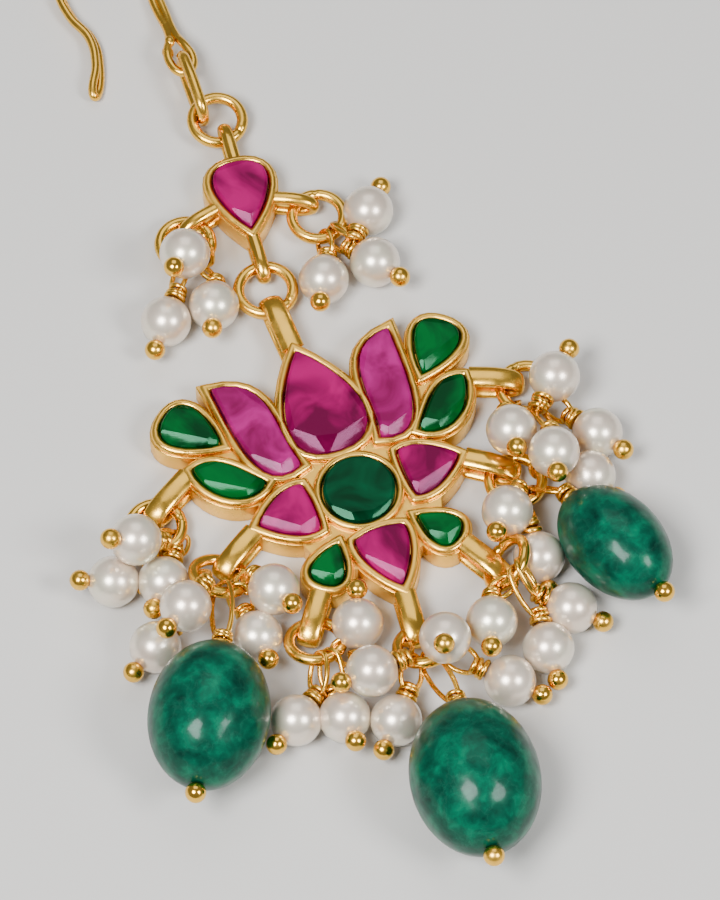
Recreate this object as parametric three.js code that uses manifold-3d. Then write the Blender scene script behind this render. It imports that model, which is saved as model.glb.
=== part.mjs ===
// A maang tikka, the jewel worn at the parting of the hair, lying flat on a table.
// Millimetres. X runs across the jewel, Y from the lotus up to the hook, Z up from the table.
// The origin is on the flat back of the lotus, under its round centre stone.

import * as THREE from "three";
import { mergeVertices } from "three/addons/utils/BufferGeometryUtils.js";
import Module from "manifold-3d";

const wasm = await Module();
wasm.setup();

// Settings and stones
const SETTING_HEIGHT = 2.5;
const STONE_SEAT = 1.2;
const STONE_RISE = 0.35;
const STONE_GAP = 0.12;
const RIM_WIDTH = 0.6;
const WEB_HEIGHT = 1.7;
const BEVEL_WIDTH = 0.45;
const BEVEL_DEPTH = 0.55;
const ROUND_STONE = 5.9;
const ROUND_FACETS = 16;
const CURVE_STEPS = 5;
const MITRE_LIMIT = 1.7;

// Soldered loops: flat bands on the lotus, wires on the teardrop
const BAND_WIDTH = 1.6;
const BAND_THICKNESS = 0.5;
const BAND_HEIGHT = 2.5;
const BAIL_WIDTH = 1.75;
const LOOP_WIRE_WIDTH = 0.95;
const LOOP_WIRE_THICKNESS = 0.72;
const LOOP_ROOT = 0.35;
const LOOP_STEPS = 6;

// Rings and the oval link
const RING_LEVEL = BAND_HEIGHT / 2;
const JUMP_RING = { radius: 2.05, wire: 0.84 };
const UPPER_RING = { radius: 2.0, wire: 0.86 };
const MIDDLE_RING = { radius: 2.15, wire: 0.88 };
const MIDDLE_RING_SLACK = 0.5;
const MIDDLE_RING_HEADING = 87;
const MIDDLE_RING_TOP = 78;
const TEARDROP_SLACK = 0.3;
const RING_SIDES = 5;
const RING_STEPS = 10;
const LINK_LENGTH = 7.0;
const LINK_HEIGHT = 3.6;
const LINK_WIRE = 0.84;
const LINK_LEVEL = 1.9;
const LINK_HEADING = 86;
const LINK_SLACK = 0.7;
const LINK_ON_RING = 118;

// The hook
const HOOK_WIRE = 0.6;
const HOOK_STRAND_SPACING = 0.66;
const HOOK_STEPS = 48;
const HOOK_SIDES = 6;
const HOOK_SLACK = 0.7;
const EYE_WIDTH = 2.6;

// Pearl and emerald drops
const PEARL = { width: 4.0, length: 4.0, sides: 10, arcs: 4 };
const EMERALD_SHAPE = { sides: 12, arcs: 7 };
const BALL_DIAMETER = 1.5;
const BALL_SINK = 0.15;
const BALL_RINGS = [48, 95];
const BALL_NECK = 1.24;
const WRAP_DIAMETER = 1.8;
const WRAP_LENGTH = 0.85;
const EYE_WIRE = 0.42;
const EYE_BEND = { halfWidth: 0.85, corners: [-67.5, -22.5, 22.5, 67.5] };
const EYE_ROOT = { halfWidth: 0.35, corners: [-60, 60] };
const EYE_STEPS = 8;
const EYE_SIDES = 5;
const PEARL_EYE = 1.5;
const EYE_CLEARANCE = 0.32;
const EYE_TOUCH = 0.05;

// Metal and stone colours
const GOLD = { color: 0xd9a441, roughness: 0.2, metalness: 1.0 };
const RUBY = { color: 0xb5125f, roughness: 0.1, metalness: 0.0 };
const PINK = { color: 0xb83d8c, roughness: 0.12, metalness: 0.0 };
const GREEN = { color: 0x04722c, roughness: 0.1, metalness: 0.0 };
const DEEP_GREEN = { color: 0x064a2c, roughness: 0.1, metalness: 0.0 };
const NACRE = { color: 0xeee6dc, roughness: 0.25, metalness: 0.0 };
const BERYL = { color: 0x0b6f56, roughness: 0.2, metalness: 0.0 };

// Each outline is a run of curves in a stone's own frame, as shares of its length:
// u runs along its axis from the base to the far end, v to the left of that.
const PETAL = [
  { from: [1, 0], out: [0.52, 0.41], into: [0, 0.48], to: [0, 0] },
  { from: [0, 0], out: [0, -0.48], into: [0.52, -0.41], to: [1, 0] },
];
const DROP = [
  { from: [1, 0], out: [1, 0.54], into: [0.48, 0.42], to: [0, 0] },
  { from: [0, 0], out: [0.48, -0.42], into: [1, -0.54], to: [1, 0] },
];
const LEAF = [
  { from: [1, 0], out: [0.75, 0.36], into: [0.3, 0.08], to: [0, 0] },
  { from: [0, 0], out: [0.1, -0.42], into: [0.72, -0.42], to: [1, 0] },
];
const CRESCENT = [
  { from: [1, 0], out: [0.72, 0.46], into: [0.35, 0.05], to: [0, 0] },
  { from: [0, 0], out: [0.03, -0.48], into: [0.6, -0.16], to: [1, 0] },
];
const SHIELD = [
  { from: [1, 0], out: [0.62, 0.4], into: [0.3, 0.53], to: [0.03, 0.45] },
  { from: [0.03, 0.45], out: [-0.02, 0.15], into: [-0.02, -0.15], to: [0.03, -0.45] },
  { from: [0.03, -0.45], out: [0.3, -0.53], into: [0.62, -0.4], to: [1, 0] },
];
const SPEAR = [
  { from: [1, 0], out: [0.66, 0.33], into: [0.25, 0.46], to: [0.05, 0.39] },
  { from: [0.05, 0.39], out: [-0.05, 0.13], into: [-0.05, -0.13], to: [0.05, -0.39] },
  { from: [0.05, -0.39], out: [0.25, -0.46], into: [0.66, -0.33], to: [1, 0] },
];

// The lotus stones. at is the heading of the stone's base from the lotus centre, away its distance
// beyond the ring of stones round the centre, points the heading of its axis. A mirrored row has
// a right and a left stone.
const STONES = [
  { name: "ruby_centre", outline: PETAL, at: 90, away: 0, points: 90, length: 9.7, finish: RUBY },
  { name: "pink_petal", outline: CRESCENT, at: 49, away: 1.1, points: 64, length: 10, finish: PINK,
    mirrored: true },
  { name: "green_outer", outline: DROP, at: 42.5, away: 7.6, points: 49, length: 5.2, finish: GREEN,
    mirrored: true },
  { name: "green_leaf", outline: LEAF, at: 27.6, away: 3.3, points: 31.6, length: 6.1, finish: GREEN,
    mirrored: true },
  { name: "ruby_side", outline: SHIELD, at: 0, away: 0, points: 0, length: 4.7, finish: RUBY,
    mirrored: true },
  { name: "green_small", outline: DROP, at: -49, away: 1.1, points: -50.3, length: 3.9, finish: GREEN,
    mirrored: true },
  { name: "ruby_bottom", outline: SPEAR, at: -90, away: 0, points: -90, length: 5.3, finish: RUBY },
];
const TEARDROP = { name: "ruby_teardrop", outline: DROP, points: 80, length: 6.4, finish: RUBY };

// Loops on the lotus start at the far end of a stone; length runs from there to the loop's outer end.
const BANDS = [
  { name: "top", stone: "ruby_centre", side: 1, heading: 90, length: 5.8, width: BAIL_WIDTH },
  { name: "leaf_left", stone: "green_leaf", side: -1, heading: 209.7, length: 5.2, width: BAND_WIDTH },
  { name: "side_left", stone: "ruby_side", side: -1, heading: 211, length: 5.0, width: BAND_WIDTH },
  { name: "small_left", stone: "green_small", side: -1, heading: 233, length: 4.9, width: BAND_WIDTH },
  { name: "bottom", stone: "ruby_bottom", side: 1, heading: 262, length: 4.9, width: BAND_WIDTH },
  { name: "small_right", stone: "green_small", side: 1, heading: 296, length: 5.3, width: BAND_WIDTH },
  { name: "side_right", stone: "ruby_side", side: 1, heading: 323, length: 4.9, width: BAND_WIDTH },
  { name: "leaf_right", stone: "green_leaf", side: 1, heading: 335, length: 4.8, width: BAND_WIDTH },
];
// Loops on the teardrop leave it at a share of its length along it, and at one out to its left.
const WIRES = [
  { name: "teardrop_bottom", along: 0, out: 0, heading: 263, length: 4.4 },
  { name: "teardrop_top", along: 1, out: 0, heading: 83, length: 4.3 },
  { name: "teardrop_left", along: 0.44, out: 0.33, heading: 193, length: 3.9 },
  { name: "teardrop_right", along: 0.44, out: -0.33, heading: 332, length: 3.9 },
];

// Where each cluster's jump ring sits in its loop: slack to the loop's end, the turn of the ring's
// centre from the loop's heading, how steeply its far side is propped up, and its roll to the left.
const CLUSTER_RINGS = [
  { name: "top_left", loop: "teardrop_left", slack: 0.7, turn: 28, tilt: 0, roll: 0 },
  { name: "top_right", loop: "teardrop_right", slack: 0.7, turn: -28, tilt: 0, roll: 0 },
  { name: "leaf_left", loop: "leaf_left", slack: 1.1, turn: 18, tilt: 0, roll: 0 },
  { name: "side_left", loop: "side_left", slack: 0.7, turn: 10, tilt: 28, roll: 0 },
  { name: "small_left", loop: "small_left", slack: 1.2, turn: 20, tilt: 18, roll: 0 },
  { name: "bottom", loop: "bottom", slack: 0.7, turn: 10, tilt: 22, roll: 0 },
  { name: "small_right", loop: "small_right", slack: 1.2, turn: 20, tilt: 50, roll: 9 },
  { name: "side_right", loop: "side_right", slack: 1.32, turn: -17, tilt: 0, roll: 0 },
  { name: "leaf_right", loop: "leaf_right", slack: 0.95, turn: -11, tilt: 0, roll: 0 },
];

// The pearl drops. x and y place the pearl from its ring's centre, as shares of the reach of a
// drop; rise is its height over the table, as a share of its width. heading and lift aim the pin
// from the wrapped end to the ball, and at is where on the ring the eye hooks.
const PEARL_DROPS = [
  { ring: "top_left", x: -0.16, y: -0.42, rise: 0.65, heading: -133, lift: 33, at: -68 },
  { ring: "top_left", x: -0.65, y: -1.01, rise: 0, heading: -130, lift: -2, at: -121 },
  { ring: "top_left", x: -0.02, y: -1.02, rise: 0, heading: -114, lift: 18, at: -85 },
  { ring: "top_right", x: 0.59, y: -0.22, rise: 0, heading: 46, lift: -8, at: -48 },
  { ring: "top_right", x: -0.29, y: -0.93, rise: 0, heading: -118, lift: 18, at: -98 },
  { ring: "top_right", x: 0.39, y: -0.94, rise: 0, heading: -63, lift: 13, at: -72 },
  { ring: "leaf_left", x: -0.38, y: -0.36, rise: 0.73, heading: 182, lift: 40, at: -60 },
  { ring: "leaf_left", x: -0.76, y: -0.56, rise: 0, heading: 164, lift: 16, at: -116 },
  { ring: "leaf_left", x: -0.2, y: -0.79, rise: 0, heading: -128, lift: 8, at: -50 },
  { ring: "side_left", x: -0.6, y: -0.44, rise: 0.75, heading: -145, lift: 12, at: 185 },
  { ring: "side_left", x: -1.06, y: -0.59, rise: 0, heading: -150, lift: -2, at: 212 },
  { ring: "side_left", x: 0.5, y: -0.51, rise: 0.38, heading: -75, lift: 28, at: -40 },
  { ring: "side_left", x: 0.12, y: -0.91, rise: 0, heading: -91, lift: 18, at: -70 },
  { ring: "small_left", x: 0.53, y: -0.03, rise: 0.18, heading: 69, lift: 25, at: -45 },
  { ring: "small_left", x: -0.61, y: -0.9, rise: 0, heading: -146, lift: 6, at: -103 },
  { ring: "small_left", x: -0.06, y: -1.08, rise: 0, heading: -93, lift: 17, at: -80 },
  { ring: "bottom", x: 0.15, y: -0.28, rise: 0.94, heading: -116, lift: 53, at: 60 },
  { ring: "bottom", x: -0.78, y: -0.26, rise: 0.58, heading: -175, lift: 9, at: 170 },
  { ring: "bottom", x: -0.69, y: -0.81, rise: 0, heading: -133, lift: 0, at: -137 },
  { ring: "bottom", x: 0.77, y: -0.83, rise: 0, heading: -42, lift: -12, at: -50 },
  { ring: "small_right", x: -0.51, y: -0.74, rise: 0.48, heading: -113, lift: 17, at: -108 },
  { ring: "small_right", x: 0.05, y: -1.18, rise: 0, heading: -97, lift: -9, at: -78 },
  { ring: "small_right", x: 0.51, y: -0.79, rise: 0, heading: -42, lift: -12, at: -62 },
  { ring: "side_right", x: -0.35, y: -0.55, rise: 0.48, heading: -132, lift: 21, at: -87 },
  { ring: "side_right", x: 0.84, y: -0.33, rise: 0, heading: -62, lift: -8, at: 5 },
  { ring: "side_right", x: -0.17, y: -1.13, rise: 0, heading: -95, lift: -20, at: -95 },
  { ring: "leaf_right", x: -0.49, y: -0.67, rise: 0.46, heading: -103, lift: 30, at: -150 },
  { ring: "leaf_right", x: 0.29, y: -0.17, rise: 0.44, heading: 42, lift: 3, at: -95 },
  { ring: "leaf_right", x: 0.53, y: -0.96, rise: 0, heading: -63, lift: 10, at: -60 },
  { ring: "leaf_right", x: -0.18, y: -1.25, rise: 0.8, heading: -107, lift: 25, at: -88 },
];
const EMERALD_DROPS = [
  { name: "emerald_left", ring: "side_left", width: 9.3, length: 12.1,
    x: -0.86, y: -1.87, heading: -120, lift: 2, at: -110 },
  { name: "emerald_bottom", ring: "bottom", width: 9.9, length: 12.9,
    x: -0.2, y: -2.06, heading: -101, lift: 7, at: -100 },
  { name: "emerald_right", ring: "side_right", width: 7.4, length: 11,
    x: 0.69, y: -1.42, heading: -75, lift: 10, at: -42 },
];

// Small helpers
const radians = THREE.MathUtils.degToRad;
const degrees = THREE.MathUtils.radToDeg;
const unit = (heading) => new THREE.Vector2(Math.cos(radians(heading)), Math.sin(radians(heading)));
const along = (start, heading, distance) => unit(heading).multiplyScalar(distance).add(start);
const raised = (point, z) => new THREE.Vector3(point.x, point.y, z);

function aim(heading, lift) {
  const level = unit(heading).multiplyScalar(Math.cos(radians(lift)));
  return raised(level, Math.sin(radians(lift)));
}

// Solids and meshes
function solid(geometry) {
  const bare = geometry.clone();
  bare.deleteAttribute("normal");
  bare.deleteAttribute("uv");
  const merged = mergeVertices(bare, 1e-5);
  return new wasm.Manifold(new wasm.Mesh({
    numProp: 3,
    vertProperties: new Float32Array(merged.attributes.position.array),
    triVerts: new Uint32Array(merged.index.array),
  }));
}

function geometryOf(body) {
  const mesh = body.getMesh();
  const geometry = new THREE.BufferGeometry();
  geometry.setAttribute("position", new THREE.BufferAttribute(mesh.vertProperties, 3));
  geometry.setIndex(new THREE.BufferAttribute(mesh.triVerts, 1));
  geometry.computeVertexNormals();
  return geometry;
}

const group = new THREE.Group();
function add(name, body, finish) {
  const mesh = new THREE.Mesh(geometryOf(body), new THREE.MeshStandardMaterial(finish));
  mesh.name = name;
  group.add(mesh);
}

// Outlines
function outlineOf(stone) {
  const axis = unit(stone.points);
  const left = new THREE.Vector2(-axis.y, axis.x);
  const place = ([u, v]) => stone.base.clone()
    .addScaledVector(axis, u * stone.length)
    .addScaledVector(left, v * stone.length * stone.side);
  const points = stone.outline.flatMap(({ from, out, into, to }) =>
    new THREE.CubicBezierCurve(place(from), place(out), place(into), place(to))
      .getPoints(CURVE_STEPS).slice(0, -1));
  return THREE.ShapeUtils.isClockWise(points) ? points.reverse() : points;
}

function roundOutline(diameter) {
  return new THREE.EllipseCurve(0, 0, diameter / 2, diameter / 2)
    .getPoints(ROUND_FACETS).slice(0, -1);
}

// An outline moved outwards by a distance, or inwards by a negative one. Sharp corners keep
// their point, up to the mitre limit.
function offset(points, distance) {
  return points.map((point, i) => {
    const before = points.at(i - 1);
    const after = points[(i + 1) % points.length];
    const a = point.clone().sub(before).normalize();
    const b = after.clone().sub(point).normalize();
    const normal = new THREE.Vector2(a.y + b.y, -a.x - b.x).normalize();
    const mitre = 1 / Math.max(normal.dot(new THREE.Vector2(a.y, -a.x)), 1 / MITRE_LIMIT);
    return point.clone().addScaledVector(normal, distance * mitre);
  });
}

function prism(points, bottom, top) {
  const depth = top - bottom;
  const geometry = new THREE.ExtrudeGeometry(new THREE.Shape(points), { depth, bevelEnabled: false });
  return solid(geometry.translate(0, 0, bottom));
}

// A cut stone: a girdle with a bevel up to a flat table and another down to its back.
function cutStone(outline) {
  const top = SETTING_HEIGHT + STONE_RISE;
  const bottom = STONE_SEAT + STONE_GAP;
  const inner = offset(outline, -BEVEL_WIDTH);
  const levels = [
    { points: inner, z: bottom },
    { points: outline, z: bottom + BEVEL_DEPTH },
    { points: outline, z: top - BEVEL_DEPTH },
    { points: inner, z: top },
  ];
  const count = outline.length;
  const corners = levels.flatMap(({ points, z }) => points.flatMap(({ x, y }) => [x, y, z]));
  const table = THREE.ShapeUtils.triangulateShape(inner, []);
  const last = count * (levels.length - 1);
  const faces = [
    ...table.flatMap(([a, b, c]) => [c, b, a]),
    ...table.flatMap(([a, b, c]) => [a + last, b + last, c + last]),
  ];
  for (let level = 0; level < levels.length - 1; level += 1) {
    for (let i = 0; i < count; i += 1) {
      const a = level * count + i;
      const b = level * count + ((i + 1) % count);
      faces.push(a, b, b + count, a, b + count, a + count);
    }
  }
  const geometry = new THREE.BufferGeometry();
  geometry.setAttribute("position", new THREE.Float32BufferAttribute(corners, 3));
  geometry.setIndex(faces);
  return solid(geometry);
}

// Loops soldered to a setting. A loop stands on edge: its profile lies in the upright plane
// along its heading.
function upright(geometry, start, heading, width) {
  const ahead = raised(unit(heading), 0);
  const up = new THREE.Vector3(0, 0, 1);
  const across = ahead.clone().cross(up);
  geometry.translate(0, 0, -width / 2);
  geometry.applyMatrix4(new THREE.Matrix4().makeBasis(ahead, up, across));
  return solid(geometry.translate(start.x, start.y, 0));
}

function bandLoop({ start, heading, length, width }) {
  const outer = BAND_HEIGHT / 2;
  const inner = outer - BAND_THICKNESS;
  const quarter = Math.PI / 2;
  const shape = new THREE.Shape();
  shape.moveTo(LOOP_ROOT, 0);
  shape.absarc(length - outer, outer, outer, -quarter, quarter, false);
  shape.lineTo(LOOP_ROOT, BAND_HEIGHT);
  shape.lineTo(LOOP_ROOT, BAND_HEIGHT - BAND_THICKNESS);
  shape.absarc(length - outer, outer, inner, quarter, -quarter, true);
  shape.lineTo(LOOP_ROOT, BAND_THICKNESS);
  const settings = { depth: width, bevelEnabled: false, curveSegments: LOOP_STEPS };
  return upright(new THREE.ExtrudeGeometry(shape, settings), start, heading, width);
}

function wireLoop({ start, heading, length }) {
  const bend = RING_LEVEL - LOOP_WIRE_THICKNESS / 2;
  const reach = length - LOOP_WIRE_THICKNESS / 2 - bend;
  const arc = Array.from({ length: LOOP_STEPS + 1 }, (_, i) => {
    const angle = Math.PI * (i / LOOP_STEPS - 0.5);
    return new THREE.Vector3(reach + bend * Math.cos(angle), RING_LEVEL + bend * Math.sin(angle), 0);
  });
  const low = new THREE.Vector3(LOOP_ROOT, RING_LEVEL - bend, 0);
  const high = new THREE.Vector3(LOOP_ROOT, RING_LEVEL + bend, 0);
  const spine = new THREE.CatmullRomCurve3([low, ...arc, high], false, "catmullrom", 0.2);
  const section = new THREE.Shape(
    new THREE.EllipseCurve(0, 0, LOOP_WIRE_WIDTH / 2, LOOP_WIRE_THICKNESS / 2)
      .getPoints(RING_SIDES).slice(0, -1));
  const settings = { steps: LOOP_STEPS + 6, extrudePath: spine, bevelEnabled: false };
  return upright(new THREE.ExtrudeGeometry(section, settings), start, heading, 0);
}

// Where a ring's wire runs through a loop
function seatIn(loop, wire, slack) {
  return along(loop.start, loop.heading, loop.length - loop.thickness - wire / 2 - slack);
}

// A ring that stands in a loop: its wire passes through the seat, and its centre lies at a
// heading from there, raised by its tilt. A roll lifts its left side.
function ringFrom(seat, { heading, tilt, roll }, { radius, wire }) {
  const outward = aim(heading, tilt);
  const centre = raised(seat, RING_LEVEL).addScaledVector(outward, radius);
  const across = raised(unit(heading + 90), 0).applyAxisAngle(outward, radians(roll));
  return { centre, outward, across, radius, wire, heading };
}

function onRing(ring, at) {
  const angle = radians(at - ring.heading);
  return ring.centre.clone()
    .addScaledVector(ring.outward, ring.radius * Math.cos(angle))
    .addScaledVector(ring.across, ring.radius * Math.sin(angle));
}

function tangentAt(ring, at) {
  const angle = radians(at - ring.heading);
  return ring.across.clone().multiplyScalar(Math.cos(angle))
    .addScaledVector(ring.outward, -Math.sin(angle));
}

function closedTube(points, wire, sides, steps) {
  const spine = new THREE.CatmullRomCurve3(points, true);
  return solid(new THREE.TubeGeometry(spine, steps, wire / 2, sides, true));
}

function ringBody(ring) {
  const points = Array.from({ length: RING_STEPS }, (_, i) => onRing(ring, (360 * i) / RING_STEPS));
  return closedTube(points, ring.wire, RING_SIDES, RING_STEPS);
}

// A long loop in the plane of its length and a side, wide at the far end and narrow at the root
function eyeLoop(near, far, side, wire) {
  const ahead = far.clone().sub(near).normalize();
  const bend = (centre, { halfWidth, corners }, turn) => corners.map((corner) => {
    const angle = radians(corner + turn);
    return centre.clone().addScaledVector(ahead, halfWidth * Math.cos(angle))
      .addScaledVector(side, halfWidth * Math.sin(angle));
  });
  return closedTube([...bend(far, EYE_BEND, 0), ...bend(near, EYE_ROOT, 180)], wire, EYE_SIDES, EYE_STEPS);
}

// A bead on its headpin, turned in one piece: ball, bead and the wrapped wire at the other end.
// It lies along Y with the bead's centre at the origin and the ball at +Y.
function beadProfile({ width, length, arcs }) {
  const points = [];
  const ball = BALL_DIAMETER / 2;
  const ballCentre = length / 2 + ball - BALL_SINK;
  const wrap = WRAP_DIAMETER / 2;
  points.push(new THREE.Vector2(0, ballCentre + ball));
  for (const angle of BALL_RINGS.map(radians)) {
    points.push(new THREE.Vector2(ball * Math.sin(angle), ballCentre + ball * Math.cos(angle)));
  }
  const first = degrees(Math.asin(BALL_NECK / width));
  const last = 180 - degrees(Math.asin(WRAP_DIAMETER / width));
  for (let i = 0; i < arcs; i += 1) {
    const angle = radians(first + ((last - first) * i) / (arcs - 1));
    points.push(new THREE.Vector2((width / 2) * Math.sin(angle), (length / 2) * Math.cos(angle)));
  }
  const end = -length / 2 - WRAP_LENGTH;
  points.push(new THREE.Vector2(wrap, end));
  points.push(new THREE.Vector2(0, end));
  return points.reverse();
}

// The eye hooks the ring's wire on its far side: it touches a pearl's ring, and clears an
// emerald's by the clearance.
function dropBody(bead, drop, ring, centre, clearance) {
  const pin = aim(drop.heading, drop.lift);
  const hook = onRing(ring, drop.at);
  const turned = new THREE.LatheGeometry(beadProfile(bead), bead.sides);
  const turn = new THREE.Quaternion().setFromUnitVectors(new THREE.Vector3(0, 1, 0), pin);
  turned.applyQuaternion(turn).translate(centre.x, centre.y, centre.z);
  const near = centre.clone().addScaledVector(pin, -(bead.length / 2 + WRAP_LENGTH));
  const toward = hook.clone().sub(near).normalize();
  const inside = EYE_BEND.halfWidth - (ring.wire + EYE_WIRE) / 2;
  const far = hook.clone().addScaledVector(toward, clearance - inside);
  const side = tangentAt(ring, drop.at).cross(toward).normalize();
  return solid(turned).add(eyeLoop(near, far, side, EYE_WIRE));
}

// A drop's bead lies from its ring's centre by shares of the reach of a hanging pearl
const reach = JUMP_RING.radius + PEARL_EYE + WRAP_LENGTH + PEARL.length / 2;
function beadCentre(ring, drop, height) {
  return new THREE.Vector3(ring.centre.x + drop.x * reach, ring.centre.y + drop.y * reach, height);
}

// Places of the lotus stones
const innerRing = ROUND_STONE / 2 + RIM_WIDTH + 2 * STONE_GAP;
const mirror = (heading, side) => (side > 0 ? heading : 180 - heading);
const lotusStones = STONES.flatMap((row) => (row.mirrored ? [1, -1] : [1]).map((side) => {
  const label = row.mirrored ? `${row.name}_${side > 0 ? "right" : "left"}` : row.name;
  const base = unit(mirror(row.at, side)).multiplyScalar(innerRing + row.away);
  const points = mirror(row.points, side);
  return { ...row, label, side, base, points, end: along(base, points, row.length) };
}));

// Loops and rings, from the lotus up to the hook
const loops = {};
for (const band of BANDS) {
  const stone = lotusStones.find((row) => row.name === band.stone && row.side === band.side);
  loops[band.name] = { ...band, start: stone.end, thickness: BAND_THICKNESS };
}
const middleSeat = seatIn(loops.top, MIDDLE_RING.wire, MIDDLE_RING_SLACK);
const middleRing = ringFrom(middleSeat, { heading: MIDDLE_RING_HEADING, tilt: 0, roll: 0 }, MIDDLE_RING);
const bottomWire = WIRES.find(({ name }) => name === "teardrop_bottom");
const bottomSeat = onRing(middleRing, MIDDLE_RING_TOP);
const bottomReach = bottomWire.length - LOOP_WIRE_THICKNESS - MIDDLE_RING.wire / 2 - TEARDROP_SLACK;
const teardropBase = along(
  new THREE.Vector2(bottomSeat.x, bottomSeat.y), bottomWire.heading + 180, bottomReach);
const teardrop = { ...TEARDROP, base: teardropBase, side: 1 };
for (const wire of WIRES) {
  const start = along(teardropBase, teardrop.points, wire.along * teardrop.length);
  start.addScaledVector(unit(teardrop.points + 90), wire.out * teardrop.length);
  loops[wire.name] = { ...wire, start, thickness: LOOP_WIRE_THICKNESS };
}
const upperRing = ringFrom(
  seatIn(loops.teardrop_top, UPPER_RING.wire, 0.4),
  { heading: loops.teardrop_top.heading + 9, tilt: 6, roll: 0 }, UPPER_RING);
const rings = {};
for (const row of CLUSTER_RINGS) {
  const loop = loops[row.loop];
  const pose = { ...row, heading: loop.heading + row.turn };
  rings[row.name] = ringFrom(seatIn(loop, JUMP_RING.wire, row.slack), pose, JUMP_RING);
}

// The lotus setting: rims round every stone, a lower web between them, and the loops
const outlines = lotusStones.map(outlineOf);
const roundStone = roundOutline(ROUND_STONE);
const webCorners = lotusStones
  .map(({ base, end }) => base.clone().add(end).multiplyScalar(0.5))
  .sort((a, b) => a.angle() - b.angle());
let lotus = prism(webCorners, 0, WEB_HEIGHT);
for (const outline of [...outlines, roundStone]) {
  lotus = lotus.add(prism(offset(outline, STONE_GAP + RIM_WIDTH), 0, SETTING_HEIGHT));
}
for (const band of BANDS) {
  lotus = lotus.add(bandLoop(loops[band.name]));
}
for (const outline of [...outlines, roundStone]) {
  lotus = lotus.subtract(prism(offset(outline, STONE_GAP), STONE_SEAT, SETTING_HEIGHT + 1));
}
add("lotus_setting", lotus, GOLD);
add("emerald_round", cutStone(roundStone), DEEP_GREEN);
lotusStones.forEach(({ label, finish }, i) => add(label, cutStone(outlines[i]), finish));

// The teardrop setting
const teardropOutline = outlineOf(teardrop);
let cup = prism(offset(teardropOutline, STONE_GAP + RIM_WIDTH), 0, SETTING_HEIGHT);
for (const wire of WIRES) {
  cup = cup.add(wireLoop(loops[wire.name]));
}
cup = cup.subtract(prism(offset(teardropOutline, STONE_GAP), STONE_SEAT, SETTING_HEIGHT + 1));
add("teardrop_setting", cup, GOLD);
add(teardrop.name, cutStone(teardropOutline), teardrop.finish);
add("middle_ring", ringBody(middleRing), GOLD);
add("upper_ring", ringBody(upperRing), GOLD);

// The oval link stands on edge through the upper ring and the hook's eye
const linkSeat = onRing(upperRing, LINK_ON_RING);
const linkStart = along(
  new THREE.Vector2(linkSeat.x, linkSeat.y), LINK_HEADING, -(UPPER_RING.wire / 2 + LINK_SLACK + LINK_WIRE));
const linkEnd = along(linkStart, LINK_HEADING, LINK_LENGTH);
const linkBend = (LINK_HEIGHT - LINK_WIRE) / 2;
const linkPoints = Array.from({ length: 12 }, (_, i) => {
  const far = i < 6;
  const angle = Math.PI * ((i % 6) / 5 - 0.5) + (far ? 0 : Math.PI);
  const centre = along(far ? linkEnd : linkStart, LINK_HEADING, (far ? -1 : 1) * LINK_HEIGHT / 2);
  const level = along(centre, LINK_HEADING, linkBend * Math.cos(angle));
  return raised(level, LINK_LEVEL + linkBend * Math.sin(angle));
});
add("oval_link", closedTube(linkPoints, LINK_WIRE, RING_SIDES, 16), GOLD);

// The hook, one closed wire: up from the eye, over the bend, down to the free tip and back
// beside itself. Its route is chosen by hand, from the bottom of the eye.
const HOOK_ROUTE = [
  { x: 0.25, y: 3.9, z: 1.5, twist: 0 },
  { x: 0.4, y: 7.2, z: 0.8, twist: 10 },
  { x: 0.4, y: 11.8, z: 0.75, twist: 25 },
  { x: -0.7, y: 14.7, z: 0.7, twist: 35 },
  { x: -3.1, y: 15.8, z: 0.7, twist: 45 },
  { x: -5.5, y: 14.7, z: 0.7, twist: 55 },
  { x: -6.6, y: 11.8, z: 0.7, twist: 65 },
  { x: -6.55, y: 9.1, z: 0.7, twist: 65 },
  { x: -5.8, y: 6.6, z: 0.7, twist: 60 },
  { x: -6.2, y: 4.0, z: 0.7, twist: 55 },
  { x: -7.35, y: 1.6, z: 0.7, twist: 50 },
];
const eyeBottom = along(linkEnd, LINK_HEADING, -(LINK_WIRE + HOOK_SLACK + HOOK_WIRE / 2));
const hookSpine = HOOK_ROUTE.map(({ x, y, z }) => new THREE.Vector3(eyeBottom.x + x, eyeBottom.y + y, z));
function strand(side) {
  return hookSpine.map((point, i) => {
    const ahead = hookSpine[Math.min(i + 1, hookSpine.length - 1)].clone()
      .sub(hookSpine[Math.max(i - 1, 0)]).normalize();
    const across = ahead.clone().cross(new THREE.Vector3(0, 0, 1)).normalize();
    const over = across.clone().cross(ahead);
    const twist = radians(HOOK_ROUTE[i].twist);
    return point.clone()
      .addScaledVector(across, side * (HOOK_STRAND_SPACING / 2) * Math.cos(twist))
      .addScaledVector(over, side * (HOOK_STRAND_SPACING / 2) * Math.sin(twist));
  });
}
const hookTip = hookSpine.at(-1).clone().sub(hookSpine.at(-2)).normalize();
const bight = hookSpine.at(-1).clone().addScaledVector(hookTip, HOOK_STRAND_SPACING / 2);
const eyeLevel = LINK_LEVEL + 0.1;
const eyeSide = (EYE_WIDTH - HOOK_WIRE) / 2;
const eyePoints = [
  { x: -eyeSide * 0.62, y: 0.25 },
  { x: 0, y: 0 },
  { x: eyeSide * 0.62, y: 0.25 },
];
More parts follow.
